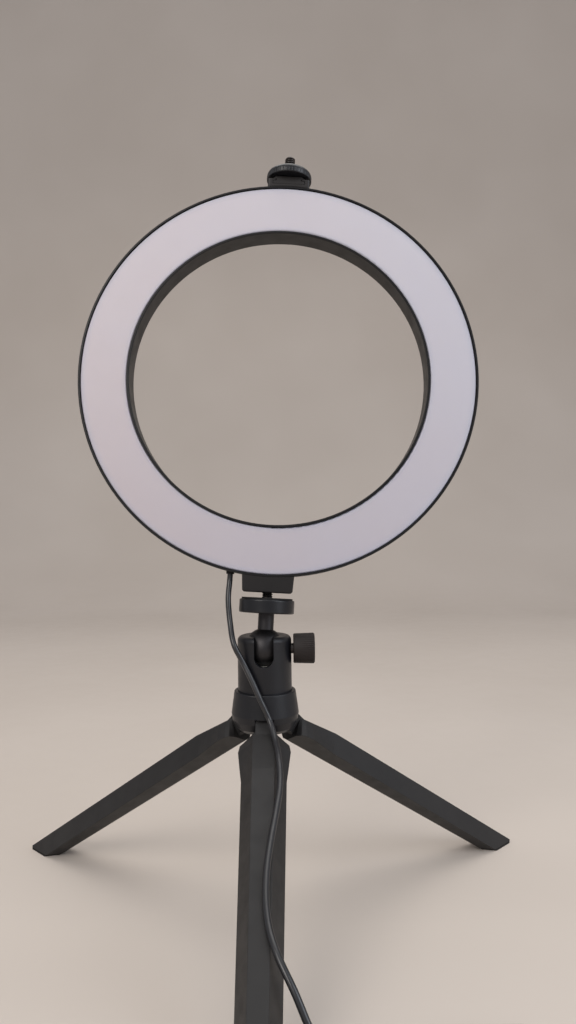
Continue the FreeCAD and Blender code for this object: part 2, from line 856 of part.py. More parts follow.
def base_screw():
    low, radius, head = size("hub_core_bottom") + 0.1, size("base_screw_radius"), size("base_screw_head")
    body = new_body("base_screw")
    section = sketch_on(body, "section", "XZ_Plane")
    outline(
        section,
        [
            ("0", "hub_core_bottom + 0.1"),
            ("base_screw_head - 0.4", "hub_core_bottom + 0.1"),
            ("base_screw_head", "hub_core_bottom + 0.5"),
            ("base_screw_head", "hub_core_bottom + 3.4"),
            ("base_screw_radius", "hub_core_bottom + 3.4"),
            ("base_screw_radius", "base_screw_top - 0.8"),
            ("base_screw_radius - 0.8", "base_screw_top"),
            ("0", "base_screw_top"),
        ],
    )
    revolve(body, section)
    socket = body.newObject("PartDesign::SubtractivePrism", "hex_socket")
    socket.Polygon = 6
    socket.Circumradius = head * 0.5
    socket.Height = radius * 0.8
    socket.AttachmentSupport = [(plane_of(body, "XY_Plane"), "")]
    socket.MapMode = "FlatFace"
    socket.AttachmentOffset = move(z=low - 0.5)
    doc.recompute()
    keep(body, "base_screw", TRIPOD)


# ---------------------------------------------------------------- hub


def hub():
    body = new_body("hub")
    section = sketch_on(body, "section", "XZ_Plane")
    outline(
        section,
        [
            ("base_screw_radius", "hub_core_bottom"),
            ("hub_core", "hub_core_bottom"),
            ("hub_core + 3", "hub_bottom"),
            ("hub_radius - 5.2", "hub_bottom"),
            ("hub_radius - 2.4", "hub_bottom + 2.3"),
            ("hub_radius - 0.5", "hub_bottom + 6.5"),
            ("hub_radius", "hub_shoulder"),
            ("hub_rim", "hub_top"),
            ("hub_recess", "hub_top"),
            ("hub_recess", "head_bottom - washer_thickness"),
            ("base_screw_radius", "head_bottom - washer_thickness"),
        ],
    )
    revolve(body, section)
    soften(body, "0.7", rim(size("hub_rim"), Z_AXIS, size("hub_top")))
    sink = sketch_on(body, "screw_head", "XY_Plane", "hub_core_bottom")
    circle(sink, "base_screw_head + 0.1")
    pocket(body, sink, "3.5", flip=True)
    slot = sketch_on(body, "leg_slot", "XZ_Plane")
    outline(
        slot,
        [
            ("hub_core", "hub_bottom - 5"),
            ("hub_core", "pin_height + 5.2"),
            ("hub_core + 1.6", "pin_height + 6.7"),
            ("pin_reach + 3.6", "pin_height + 6.7"),
            ("pin_reach + 11", "pin_height - 0.4"),
            ("pin_reach + 11", "hub_bottom - 5"),
        ],
    )
    slots = pocket(body, slot, "2 * leg_slot_half", both=True)
    pin = sketch_on(body, "pin_hole", "XZ_Plane")
    circle(pin, "pin_radius", "pin_reach", "pin_height")
    holes = pocket(body, pin, "2 * pin_half_length", both=True)
    around(body, [slots, holes], "Z_Axis", "3")
    keep(body, "hub", TRIPOD.multiply(turn(Z_AXIS, -90)))


def hinge_pins():
    half = size("pin_half_length")
    start = FreeCAD.Vector(size("pin_reach"), -half, size("pin_height"))
    pin = Part.makeCylinder(size("pin_radius"), 2 * half, start, Y_AXIS)
    group("hinge_pins", [placed(pin, turn(Z_AXIS, -90 + 120 * i)) for i in range(3)], TRIPOD)


def friction_washer():
    body = new_body("friction_washer")
    flat = sketch_on(body, "flat", "XY_Plane", "head_bottom - washer_thickness")
    circle(flat, "head_radius - 0.5")
    circle(flat, "hub_core")
    pad(body, flat, "washer_thickness")
    keep(body, "friction_washer", TRIPOD)


# ---------------------------------------------------------------- legs

HEADINGS = {"front": -90, "left": 150, "right": 30}

# stations down a folded leg: distance below the pin, outer radius, half of the flat top, half width
SHOULDER = [
    (7.2, 16.2, 4.6, 9.6),
    (8.6, 16.5, 5.6, 12.4),
    (11.0, 16.8, 6.1, 13.9),
    (16.0, 17.2, 6.3, 14.7),
    (26.0, 18.1, 6.2, 13.5),
    (35.0, 18.9, 6.1, 12.3),
]
TIP = (218.0, 16.85, 3.6, 8.75)
FOOT_START = 150.0


def wedge(body, stations):
    """A third of a round bar: a flat top, two sloped facets and two faces towards the axis."""
    sketches = []
    for down, outer, flat, half in stations:
        sketch = sketch_on(body, "section", "XY_Plane", f"-{down}")
        inner_half = "(wedge_inner * 1.732 - 2 * wedge_gap)"
        edge = f"({half} + 2 * wedge_gap) / 1.732"
        right = [("wedge_inner", inner_half), (edge, f"{half}"), (f"{outer}", f"{flat}")]
        outline(sketch, right + [(x, f"-{y}") for x, y in reversed(right)])
        sketches.append(sketch)
    loft = body.newObject("PartDesign::AdditiveLoft", "wedge")
    loft.Profile = sketches[0]
    loft.Sections = sketches[1:]
    loft.Ruled = True
    doc.recompute()
    return loft


def table_cut(body, above):
    """Cuts away what lies beyond the height above the table, seen with the leg spread."""
    spread = math.radians(size("leg_spread"))
    reach, height = size("pin_reach"), size("pin_height")

    def folded(x, z):
        across, up = x - reach, z - height
        return (
            reach + across * math.cos(spread) + up * math.sin(spread),
            -across * math.sin(spread) + up * math.cos(spread),
        )

    low, high = above
    corners = [folded(x, z) for x, z in ((60, low), (300, low), (300, high), (60, high))]
    sketch = sketch_on(body, "table", "XZ_Plane")
    outline(sketch, [(f"{x:.4f}", f"{z:.4f}") for x, z in corners])
    pocket(body, sketch, "60", both=True)


def tip_cut(body):
    sketch = sketch_on(body, "tip", "XZ_Plane")
    rectangle(sketch, "-20", "40", "-(leg_length + 20)", "-leg_length")
    pocket(body, sketch, "60", both=True)


def leg(side):
    place = TRIPOD.multiply(turn(Z_AXIS, HEADINGS[side])).multiply(
        move(size("pin_reach"), 0, size("pin_height")).multiply(
            turn(Y_AXIS, -size("leg_spread")).multiply(move(-size("pin_reach"), 0, 0))
        )
    )
    body = new_body(f"leg_{side}")
    wedge(body, SHOULDER + [TIP])
    eye = sketch_on(body, "eye", "XZ_Plane")
    circle(eye, "tongue_eye", "pin_reach")
    pad(body, eye, "2 * tongue_half", both=True)
    tongue = sketch_on(body, "tongue", "XZ_Plane")
    outline(
        tongue,
        [
            ("pin_reach + tongue_eye", "0"),
            ("pin_reach - tongue_eye", "0"),
            ("pin_reach - 6.2", "-5.8"),
            ("pin_reach - 9.0", "-8.6"),
            ("pin_reach - 9.6", "-11"),
            ("pin_reach - 9.6", "-14"),
            ("pin_reach + 3.2", "-14"),
            ("pin_reach + 3.8", "-9.6"),
        ],
    )
    pad(body, tongue, "2 * tongue_half", both=True)
    hole = sketch_on(body, "pin_hole", "XZ_Plane")
    circle(hole, "pin_bore", "pin_reach")
    pocket(body, hole, FAR, both=True)
    table_cut(body, (-200, size("foot_pad")))
    tip_cut(body)
    keep(body, f"leg_{side}", place)
    foot = new_body(f"foot_{side}")
    share = (FOOT_START - SHOULDER[-1][0]) / (TIP[0] - SHOULDER[-1][0])
    start = [near + (far - near) * share for near, far in zip(SHOULDER[-1], TIP)]
    wedge(foot, [start, TIP])
    table_cut(foot, (size("foot_pad"), 200))
    table_cut(foot, (-200, 0))
    tip_cut(foot)
    keep(foot, f"foot_{side}", place)


# ---------------------------------------------------------------- cables, controller and plug

CASE_X, CASE_Y = 96.0, -148.0
PLUG_X, PLUG_Y = 100.0, -120.5


def on_front_leg(reach, side):
    """A cable point that lies on the front leg's top, at a reach from the tripod's axis."""
    top_line = 96.8 - 0.6600 * (reach - 49.0)
    return (side, -reach, top_line + size("cable_radius") + 0.75)


def round_the_head(x, z, barrel):
    """A cable point that hangs just in front of a round barrel."""
    away = barrel + size("cable_radius") + 0.6
    return (x, -math.sqrt(away * away - x * x), z)


def lamp_cable():
    """From the ring down past the head, along the front leg and over the table to the controller."""
    to_tripod = TRIPOD.inverse().multiply(RING)
    side, depth = size("cable_side"), size("cable_depth")
    exits = [FreeCAD.Vector(-side, depth, -size("ring_radius") + step) for step in (2.2, -4.0)]
    height = size("case_height") / 2
    entry = CASE_X - size("case_length") / 2
    route = [
        *[tuple(to_tripod.multVec(spot)) for spot in exits],
        (-21.0, 0.0, 182.0),
        (-18.9, -6.5, 165.0),
        round_the_head(-12.2, 150.5, size("head_radius")),
        round_the_head(-6.6, 138.5, size("head_radius") + 0.8),
        round_the_head(-1.6, 128.0, size("hub_rim") + 0.6),
        round_the_head(3.0, 117.5, size("hub_radius") + 0.2),
        (5.3, -28.5, 109.9),
        on_front_leg(43, 8.6),
        on_front_leg(57, 9.6),
        on_front_leg(70, 7.2),
        on_front_leg(83, 4.3),
        on_front_leg(95, 2.5),
        on_front_leg(107, 2.2),
        on_front_leg(118, 4.0),
        on_front_leg(128, 7.8),
        (14.5, -137.0, 37.0),
        (22.5, -143.5, 22.0),
        (33.0, -147.0, 9.5),
        (44.0, CASE_Y, height),
        (entry - 10.0, CASE_Y, height),
        (entry + 5.5, CASE_Y, height),
    ]
    group("lamp_cable", [cord(route, size("cable_radius"), 60)], TRIPOD)


def usb_cable():
    """From the controller round a bend and back to the plug beside it."""
    rest = size("cable_radius") + 0.1
    case_end, case_middle = CASE_X + size("case_length") / 2, size("case_height") / 2
    plug_end, plug_middle = PLUG_X + size("plug_length") / 2, size("plug_height") / 2
    route = [
        (case_end - 5.5, CASE_Y, case_middle),
        (case_end + 10.0, CASE_Y, case_middle),
        (154.0, CASE_Y + 2.0, rest),
        (154.0, PLUG_Y - 2.0, rest),
        (plug_end + 10.0, PLUG_Y, plug_middle),
        (plug_end - 5.0, PLUG_Y, plug_middle),
    ]
    group("usb_cable", [cord(route, size("cable_radius"), 12)], TRIPOD)


def shell_half(name, low, high, closed_low):
    """One half of the controller's case: a rounded box, hollowed from the open side."""
    body = new_body(name)
    plan = sketch_on(body, "plan", "XY_Plane", low)
    rectangle(plan, "-case_length / 2", "case_length / 2", "-case_width / 2", "case_width / 2")
    pad(body, plan, f"{high} - {low}")
    soften(body, "5", upright(Z_AXIS))
    outer = size("case_height") if not closed_low else 0.0

    def on_outer_face(edge):
        return abs(edge.BoundBox.ZMin - outer) < 0.01 and abs(edge.BoundBox.ZMax - outer) < 0.01

    soften(body, "1.2", on_outer_face)
    hollow = sketch_on(body, "hollow", "XY_Plane", high if closed_low else low)
    inset = "4.5"
    rectangle(
        hollow, f"-(case_length / 2 - {inset})", f"case_length / 2 - {inset}",
        "-(case_width / 2 - case_wall)", "case_width / 2 - case_wall",
    )
    pocket(body, hollow, f"{high} - {low} - case_wall", flip=not closed_low)
    entry = sketch_on(body, "cable_entry", "YZ_Plane")
    circle(entry, "cable_hole", "0", "case_height / 2")
    pocket(body, entry, FAR, both=True)
    return body


def controller():
    place = TRIPOD.multiply(move(CASE_X, CASE_Y, 0))
    bottom = shell_half("controller_bottom", "0", "case_split", True)
    for side in ("-", ""):
        sink = sketch_on(bottom, "screw_hole", "XY_Plane")
        circle(sink, "1.8", f"{side}(case_length / 2 - 9)", "4.5")
        pocket(bottom, sink, "0.9", flip=True)
        shank = sketch_on(bottom, "screw_shank", "XY_Plane")
        circle(shank, "0.85", f"{side}(case_length / 2 - 9)", "4.5")
        pocket(bottom, shank, "3", flip=True)
    keep(bottom, "controller_bottom", place)
    top = shell_half("controller_top", "case_split", "case_height", False)
    holes = sketch_on(top, "button_holes", "XY_Plane", "case_height + 1")
    for step in (-1, 0, 1):
        circle(holes, "button_radius + 0.05", f"{step} * button_pitch" if step else "0", "0")
    pocket(top, holes, "5")
    keep(top, "controller_top", place)
    board = new_body("controller_board")
    flat = sketch_on(board, "flat", "XY_Plane", "case_split - 0.4")
    rectangle(flat, "-22", "22", "-6.5", "6.5")
    pad(board, flat, "1.2")
    keep(board, "controller_board", place)
    switch_low = size("case_split") + 0.8
    switch = Part.makeBox(5, 5, 1.0, FreeCAD.Vector(-2.5, -2.5, switch_low))
    group("switches", [placed(switch, move(size("button_pitch") * step)) for step in (-1, 0, 1)], place)
    screw = screw_solid(1.7, 0.7, 0.8, 0.4, 0.35)
    seat = size("case_length") / 2 - 9
    pair = [placed(screw, move(x, 4.5, 0.9).multiply(turn(X_AXIS, 180))) for x in (-seat, seat)]
    return place, pair


def button(name, step):
    """A round cap that stands proud of the case and travels down towards its switch."""
    body = new_body(name)
    cap = sketch_on(body, "cap", "XY_Plane", "case_split + 2.6")
    circle(cap, "button_radius")
    pad(body, cap, "case_height - case_split - 2.6 + button_stand")
    soften(body, "0.5", rim(size("button_radius"), Z_AXIS, size("case_height") + size("button_stand")))
    keep(body, name, TRIPOD.multiply(move(CASE_X + size("button_pitch") * step, CASE_Y, 0)))


def strain_reliefs():
    """A tapered sleeve where each cable leaves the controller and the plug."""
    bore = size("cable_hole")
    sleeve = turned_solid([(bore, 0), (3.0, 0), (3.0, 1.5), (2.4, 8), (bore, 8)])
    case_end, middle = size("case_length") / 2, size("case_height") / 2
    spots = [
        move(CASE_X - case_end, CASE_Y, middle).multiply(turn(Y_AXIS, -90)),
        move(CASE_X + case_end, CASE_Y, middle).multiply(turn(Y_AXIS, 90)),
        move(PLUG_X + size("plug_length") / 2, PLUG_Y, size("plug_height") / 2).multiply(turn(Y_AXIS, 90)),
    ]
    group("strain_reliefs", [placed(sleeve, spot) for spot in spots], TRIPOD)


def usb_plug():
    place = TRIPOD.multiply(move(PLUG_X, PLUG_Y, size("plug_height") / 2))
    body = new_body("plug_body")
    side = sketch_on(body, "end", "YZ_Plane")
    rectangle(side, "-plug_width / 2", "plug_width / 2", "-plug_height / 2", "plug_height / 2")
    pad(body, side, "plug_length", both=True)
    soften(body, "1.8", upright(X_AXIS))
    socket = sketch_on(body, "shell_socket", "YZ_Plane", "-plug_length / 2")
    rectangle(socket, "-shell_width / 2", "shell_width / 2", "-shell_height / 2", "shell_height / 2")
    pocket(body, socket, "7", flip=True)
    entry = sketch_on(body, "cable_entry", "YZ_Plane", "plug_length / 2")
    circle(entry, "cable_hole")
    pocket(body, entry, "6")
    keep(body, "plug_body", place)
    shell = new_body("plug_shell")
    wall = sketch_on(shell, "wall", "YZ_Plane", "-plug_length / 2 + 7")
    rectangle(wall, "-shell_width / 2", "shell_width / 2", "-shell_height / 2", "shell_height / 2")
    inner_y, inner_z = "(shell_width / 2 - shell_wall)", "(shell_height / 2 - shell_wall)"
    rectangle(wall, f"-{inner_y}", inner_y, f"-{inner_z}", inner_z)
    pad(shell, wall, "shell_length + 7", flip=True)
    windows = sketch_on(shell, "windows", "XY_Plane")
    for across in ("-2.9", "2.9"):
        low, high = f"{across} - 1.1", f"{across} + 1.1"
        rectangle(windows, "-plug_length / 2 - 7.5", "-plug_length / 2 - 5.0", low, high)
    pocket(shell, windows, FAR, both=True)
    keep(shell, "plug_shell", place)
    tongue = new_body("plug_tongue")
    bar = sketch_on(tongue, "bar", "YZ_Plane", "-plug_length / 2 + 7")
    rectangle(bar, f"-{inner_y}", inner_y, "0", inner_z)
    pad(tongue, bar, "shell_length + 6", flip=True)
    keep(tongue, "plug_tongue", place)
    start = -size("plug_length") / 2 - size("shell_length") + 2
    strips = []
    for across in (-3.5, -1.2, 1.2, 3.5):
        strips.append(Part.makeBox(8.5, 1.1, 0.15, FreeCAD.Vector(start, across - 0.55, -0.15)))
    group("plug_contacts", strips, place)


# ---------------------------------------------------------------- the whole object


def build():
    ring_housing()
    diffuser()
    board_ring("led_board", "board_back", "board_thickness", False)
    board_ring("reflector_sheet", "board_back - board_thickness", "sheet_thickness", True)
    leds("warm_leds", size("warm_circle"))
    leds("cool_leds", size("cool_circle"))
    housing_screws()
    lead_wires()
    cable_grommet()
    mount_block()
    thread_insert()
    rim_inside = size("ring_radius") - size("outer_wall")
    block_screw = screw_solid(1.9, 1.1, 1.1, 8.5)
    wall_screws("block_screws", size("block_screw_side"), 0, -(rim_inside - 0.75), block_screw)
    cold_shoe()
    shoe_floor = size("ring_radius") + size("shoe_base")
    shoe_screw = screw_solid(2.0, 0.85, 1.0, 4.0)
    wall_screws("shoe_screws", size("shoe_screw_side"), 0, shoe_floor - 0.9, shoe_screw)
    adapter_foot()
    accessory_stud()
    lock_nut()
    ball_and_stem()
    platform()
    light_screw()
    head_housing()
    ball_seat()
    clamp()
    base_screw()
    hub()
    hinge_pins()
    friction_washer()
    for side in HEADINGS:
        leg(side)
    lamp_cable()
    usb_cable()
    place, pair = controller()
    group("controller_screws", pair, place)
    for name, step in (("button_dimmer", -1), ("button_power", 0), ("button_brighter", 1)):
        button(name, step)
    strain_reliefs()
    usb_plug()


def write():
    doc.recompute()
    for item in doc.Objects:
        if "Invalid" in item.State or "Error" in item.State:
            raise ValueError(f"{item.Name} failed: {item.State}")
    for piece in PARTS:
        shape = piece.Shape
        if shape.isNull() or not shape.isValid() or not shape.Solids or shape.Volume <= 0:
            raise ValueError(f"{piece.Label} has no valid solid")
    os.makedirs("parts", exist_ok=True)
    for piece in PARTS:
        piece.Shape.exportStep(f"parts/{piece.Label}.step")


build()
write()
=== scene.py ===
import json
import math

import bmesh
import bpy
from mathutils import Matrix, Vector


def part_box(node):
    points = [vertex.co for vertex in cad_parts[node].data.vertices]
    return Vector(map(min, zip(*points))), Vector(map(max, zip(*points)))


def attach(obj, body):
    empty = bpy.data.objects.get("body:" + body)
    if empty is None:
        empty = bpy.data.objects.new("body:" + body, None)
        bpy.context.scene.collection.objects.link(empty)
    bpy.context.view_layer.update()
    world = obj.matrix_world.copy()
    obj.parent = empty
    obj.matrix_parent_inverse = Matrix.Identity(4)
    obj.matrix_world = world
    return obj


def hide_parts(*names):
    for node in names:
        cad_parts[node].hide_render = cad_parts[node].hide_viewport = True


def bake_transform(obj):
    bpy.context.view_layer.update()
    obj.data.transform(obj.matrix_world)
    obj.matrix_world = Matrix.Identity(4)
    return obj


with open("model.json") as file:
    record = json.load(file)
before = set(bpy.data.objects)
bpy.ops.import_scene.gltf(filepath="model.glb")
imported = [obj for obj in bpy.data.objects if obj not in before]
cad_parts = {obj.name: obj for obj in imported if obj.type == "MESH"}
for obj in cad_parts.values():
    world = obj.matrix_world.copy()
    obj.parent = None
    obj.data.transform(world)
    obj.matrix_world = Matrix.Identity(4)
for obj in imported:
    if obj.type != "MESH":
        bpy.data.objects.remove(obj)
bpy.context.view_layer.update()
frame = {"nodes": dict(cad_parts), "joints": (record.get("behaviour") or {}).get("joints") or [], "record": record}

MM = 0.001
JOINTS = {joint["name"]: joint for joint in frame["joints"]}
NODES = frame["nodes"]

# ---------------------------------------------------------------- frames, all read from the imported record

BALL = Vector(JOINTS["ball_lean"]["pos_m"])
UP = Vector(JOINTS["light_swivel"]["axis"]).normalized()
AWAY = -Vector(JOINTS["adapter_slide"]["axis"]).normalized()
SIDE = AWAY.cross(UP).normalized()
HEAD = Matrix((
    (SIDE.x, AWAY.x, UP.x, BALL.x),
    (SIDE.y, AWAY.y, UP.y, BALL.y),
    (SIDE.z, AWAY.z, UP.z, BALL.z),
    (0, 0, 0, 1),
))
RING = HEAD @ Matrix.Translation((0, 0, 162.1 * MM))
AXIS_Y = BALL.y
RING_RADIUS = 120.4 * MM
RING_BORE = 89.8 * MM


# ---------------------------------------------------------------- node helpers


class Shader:
    """A small wrapper that lays out one node material."""

    def __init__(self, name):
        self.material = bpy.data.materials.new(name)
        self.material.use_nodes = True
        self.tree = self.material.node_tree
        self.surface = self.tree.nodes["Principled BSDF"]
        where = self.node("ShaderNodeTexCoord")
        self.place = self.node("ShaderNodeVectorMath", operation="SCALE")
        self.place.inputs["Scale"].default_value = 1000.0
        self.link(where.outputs["Object"], self.place.inputs[0])
        self.at = self.place.outputs[0]

    def node(self, kind, **fields):
        made = self.tree.nodes.new(kind)
        for field, value in fields.items():
            setattr(made, field, value)
        return made

    def link(self, source, target):
        self.tree.links.new(source, target)

    def set(self, **values):
        for name, value in values.items():
            self.surface.inputs[name.replace("_", " ")].default_value = value

    def noise(self, size_mm, detail=3.0, stretch=(1, 1, 1), roughness=0.55):
        """Noise from 0 to 1 whose cells are about size_mm across, longer along a stretched axis."""
        vector = self.at
        if stretch != (1, 1, 1):
            scaled = self.node("ShaderNodeVectorMath", operation="MULTIPLY")
            self.link(self.at, scaled.inputs[0])
            scaled.inputs[1].default_value = tuple(1 / s for s in stretch)
            vector = scaled.outputs[0]
        made = self.node("ShaderNodeTexNoise")
        made.inputs["Scale"].default_value = 1.0 / size_mm
        made.inputs["Detail"].default_value = detail
        made.inputs["Roughness"].default_value = roughness
        self.link(vector, made.inputs["Vector"])
        return made.outputs["Fac"]

    def ramp(self, source, low, high, to_low=0.0, to_high=1.0):
        made = self.node("ShaderNodeMapRange")
        self.link(source, made.inputs["Value"])
        for name, value in (("From Min", low), ("From Max", high), ("To Min", to_low), ("To Max", to_high)):
            made.inputs[name].default_value = value
        return made.outputs["Result"]

    def mix(self, share, first, second):
        """Mixes two colours by a share. Each colour is an output or three numbers."""
        made = self.node("ShaderNodeMix", data_type="RGBA")
        self.link(share, made.inputs["Factor"])
        for name, colour in (("A", first), ("B", second)):
            target = next(i for i in made.inputs if i.name == name and i.type == "RGBA")
            if isinstance(colour, tuple):
                target.default_value = (*colour, 1.0)
            else:
                self.link(colour, target)
        return next(o for o in made.outputs if o.type == "RGBA")

    def maths(self, operation, first, second=None):
        made = self.node("ShaderNodeMath", operation=operation)
        for number, value in enumerate((first, second)):
            if isinstance(value, (int, float)):
                made.inputs[number].default_value = value
            elif value is not None:
                self.link(value, made.inputs[number])
        return made.outputs[0]

    def edges(self, width_mm):
        """A mask that is 1 at sharp edges, and the rounded normal that goes with it."""
        rounded = self.node("ShaderNodeBevel", samples=4)
        rounded.inputs["Radius"].default_value = width_mm * MM
        flat = self.node("ShaderNodeNewGeometry")
        dot = self.node("ShaderNodeVectorMath", operation="DOT_PRODUCT")
        self.link(rounded.outputs[0], dot.inputs[0])
        self.link(flat.outputs["Normal"], dot.inputs[1])
        return self.ramp(dot.outputs["Value"], 0.995, 0.88), rounded.outputs[0]

    def bump(self, height, depth_mm, normal=None, strength=1.0):
        made = self.node("ShaderNodeBump")
        made.inputs["Distance"].default_value = depth_mm * MM
        made.inputs["Strength"].default_value = strength
        self.link(height, made.inputs["Height"])
        if normal:
            self.link(normal, made.inputs["Normal"])
        return made.outputs[0]

    def finish(self, colour, roughness, normal):
        self.link(colour, self.surface.inputs["Base Color"])
        self.link(roughness, self.surface.inputs["Roughness"])
        self.link(normal, self.surface.inputs["Normal"])
        return self.material


def scaled(colour, factor):
    return tuple(min(1.0, channel * factor) for channel in colour)


def moulded(name, colour, rough, grain_mm, grain_depth, vary=0.2, edge_wear_and_highlight=1.6, edge_mm=0.35, **more):
    """Moulded plastic or rubber: fine spark-eroded grain, broad tone changes, and edges lightened in colour,
    partly rubbed wear and partly a painted highlight.
    """
    made = Shader(name)
    broad = made.ramp(made.noise(28.0, 2.0), 0.3, 0.7)
    fine = made.noise(grain_mm, 4.0, roughness=0.62)
    tone = made.mix(broad, scaled(colour, 1 - vary), scaled(colour, 1 + vary))
    edge, rounded = made.edges(edge_mm)
    # Edges lightened in colour: partly rubbed wear, partly a painted highlight along them.
    worn_and_highlit_edges = made.maths("MULTIPLY", edge, made.ramp(made.noise(3.0), 0.35, 0.65, 0.3, 1.0))
    tone = made.mix(made.maths("MULTIPLY", worn_and_highlit_edges, 0.55), tone, scaled(colour, edge_wear_and_highlight))
    smear = made.ramp(made.noise(9.0, 5.0), 0.4, 0.75)
    sheen = made.ramp(smear, 0, 1, rough - 0.05, rough + 0.07)
    roughness = made.maths("ADD", sheen, made.ramp(fine, 0, 1, -0.03, 0.03))
    made.set(**more)
    return made.finish(tone, roughness, made.bump(fine, grain_depth, rounded))


def metal(name, colour, rough, scratch_mm=0.12, stretch=(1, 1, 12), depth=0.006, **more):
    """Machined or plated metal: fine drawn lines, patchy sheen, and edges lightened in colour, partly rubbed wear
    and partly a painted highlight.
    """
    made = Shader(name)
    lines = made.noise(scratch_mm, 2.0, stretch)
    cloudy = made.ramp(made.noise(6.0, 3.0), 0.3, 0.7)
    edge, rounded = made.edges(0.15)
    tone = made.mix(cloudy, scaled(colour, 0.86), scaled(colour, 1.1))
    # Edges lightened in colour: partly rubbed wear, partly a painted highlight along them.
    tone = made.mix(made.maths("MULTIPLY", edge, 0.6), tone, scaled(colour, 1.7))
    drawn = made.ramp(lines, 0, 1, rough - 0.06, rough + 0.08)
    roughness = made.maths("ADD", drawn, made.ramp(cloudy, 0, 1, 0, 0.06))
    made.set(Metallic=1.0, **more)
    return made.finish(tone, roughness, made.bump(lines, depth, rounded))


def frosted():
    """The diffuser: milky plastic with painted light: painted shade, a touch bluer, towards its two rims, a top
    painted lighter than its bottom, and a left side painted warmer than the bluer right.
    """
    made = Shader("diffuser_frosted")
    centre = RING.translation * 1000.0
    offset = made.node("ShaderNodeVectorMath", operation="SUBTRACT")
    made.link(made.at, offset.inputs[0])
    offset.inputs[1].default_value = tuple(centre)
    length = made.node("ShaderNodeVectorMath", operation="LENGTH")
    made.link(offset.outputs[0], length.inputs[0])
    radius = length.outputs["Value"]
    middle = (RING_RADIUS + RING_BORE) / 2 / MM
    half = (RING_RADIUS - RING_BORE) / 2 / MM
    # Painted shade, a touch bluer, towards the inner and outer rims.
    reach = made.maths("ABSOLUTE", made.maths("SUBTRACT", radius, middle))
    rim = made.ramp(made.maths("DIVIDE", reach, half), 0.62, 1.0)
    rim = made.maths("POWER", rim, 1.6)
    spot = made.node("ShaderNodeSeparateXYZ")
    made.link(offset.outputs[0], spot.inputs[0])
    span = RING_RADIUS / MM
    # Painted light: the top painted lighter than the bottom, the left warmer and the right bluer, as the lamps
    # fall.
    height = made.ramp(spot.outputs["Z"], -span, span)
    side = made.ramp(spot.outputs["X"], -span, span)
    cloud = made.ramp(made.noise(60.0, 1.0), 0.3, 0.7, -0.12, 0.12)
    low = made.mix(made.maths("ADD", side, cloud), (0.475, 0.425, 0.450), (0.455, 0.440, 0.500))
    high = made.mix(made.maths("ADD", side, cloud), (0.560, 0.510, 0.545), (0.555, 0.545, 0.605))
    body = made.mix(height, low, high)
    # The painted rim shade mixed over the painted top and side light.
    tone = made.mix(made.maths("MULTIPLY", rim, 0.7), body, (0.33, 0.37, 0.48))
    fine = made.noise(0.25, 3.0)
    roughness = made.ramp(made.noise(14.0, 4.0), 0.3, 0.7, 0.40, 0.50)
    made.set(Subsurface_Weight=0.25, Subsurface_Radius=(0.004, 0.004, 0.005), Subsurface_Scale=1.0, IOR=1.5)
    return made.finish(tone, roughness, made.bump(fine, 0.004, strength=0.5))


def jacket(name, colour):
    """Cable jacket: smooth PVC with slight long ripples and a clear sheen."""
    made = Shader(name)
    ripple = made.noise(2.2, 2.0)
    fine = made.noise(0.3, 3.0)
    tone = made.mix(made.ramp(made.noise(12.0), 0.35, 0.65), scaled(colour, 0.8), scaled(colour, 1.35))
    roughness = made.ramp(made.noise(5.0, 4.0), 0.3, 0.7, 0.30, 0.42)
    made.set(Coat_Weight=0.25, Coat_Roughness=0.2, IOR=1.52)
    normal = made.bump(fine, 0.004, made.bump(ripple, 0.012, strength=0.5))
    return made.finish(tone, roughness, normal)


def board_mask(name, colour, trace):
    """A circuit board's lacquer with the faint relief of its copper tracks."""
    made = Shader(name)
    cells = made.node("ShaderNodeTexVoronoi", feature="DISTANCE_TO_EDGE")
    cells.inputs["Scale"].default_value = 0.28
    made.link(made.at, cells.inputs["Vector"])
    tracks = made.ramp(cells.outputs["Distance"], 0.04, 0.09)
    tone = made.mix(tracks, trace, colour)
    roughness = made.ramp(made.noise(3.0), 0.3, 0.7, 0.32, 0.45)
    return made.finish(tone, roughness, made.bump(tracks, 0.05))


def phosphor(name, colour, rim):
    """An LED's gel, its colour mottled at random between two tones."""
    made = Shader(name)
    tone = made.mix(made.ramp(made.noise(0.9, 3.0), 0.35, 0.65), colour, rim)
    made.set(Coat_Weight=0.5)
    roughness = made.ramp(made.noise(0.4), 0.3, 0.7, 0.2, 0.35)
    return made.finish(tone, roughness, made.bump(made.noise(0.5), 0.02))


# ---------------------------------------------------------------- materials for the CAD nodes

BLACK_WARM = (0.0105, 0.0092, 0.0092)
BLACK_COOL = (0.0070, 0.0073, 0.0095)
LEG_GREY = (0.0150, 0.0142, 0.0142)

